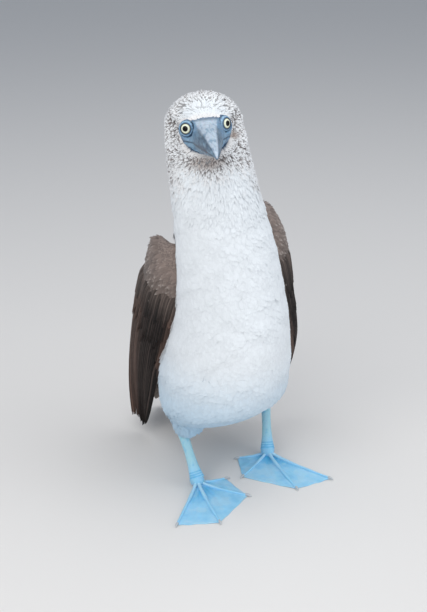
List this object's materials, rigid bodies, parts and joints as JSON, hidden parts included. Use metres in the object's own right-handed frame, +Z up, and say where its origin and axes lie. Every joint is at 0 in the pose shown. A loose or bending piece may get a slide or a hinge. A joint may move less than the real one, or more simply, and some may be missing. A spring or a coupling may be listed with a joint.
{
  "type": "blue-footed booby",
  "caption": "Life-size standing blue-footed booby: white breast, streaked head, dark folded wings, blue face, bill and webbed feet.",
  "frame": {"origin": "on the floor, under the middle of the bird's bounding box", "axes": "+Z up, -Y the way the bird faces, +X the bird's left"},
  "size_m": [0.2193, 0.4304, 0.4769],
  "materials": {
    "white_plumage": "soft overlapping feathers",
    "streaked_plumage": "short pointed feathers, white with grey-brown streaks",
    "brown_plumage": "dark brown flight feathers and coverts",
    "tail_plumage": "grey-brown tail feathers",
    "bare_face": "bare slate-blue skin",
    "bill_horn": "blue-grey horn",
    "blue_skin": "bright blue scaled skin and web",
    "eye": "wet, pale yellow iris and black pupil"
  },
  "bodies": {
    "root": {"torso": "white_plumage", "neck": "white_plumage", "head": "streaked_plumage", "face": "bare_face", "maxilla": "bill_horn", "mandible": "bill_horn", "eye_left": "eye", "eye_right": "eye", "wing_left": "brown_plumage", "wing_right": "brown_plumage", "tail": "tail_plumage", "thigh_left": "white_plumage", "thigh_right": "white_plumage", "tarsus_left": "blue_skin", "tarsus_right": "blue_skin", "foot_left": "blue_skin", "foot_right": "blue_skin"}
  },
  "joints": []
}
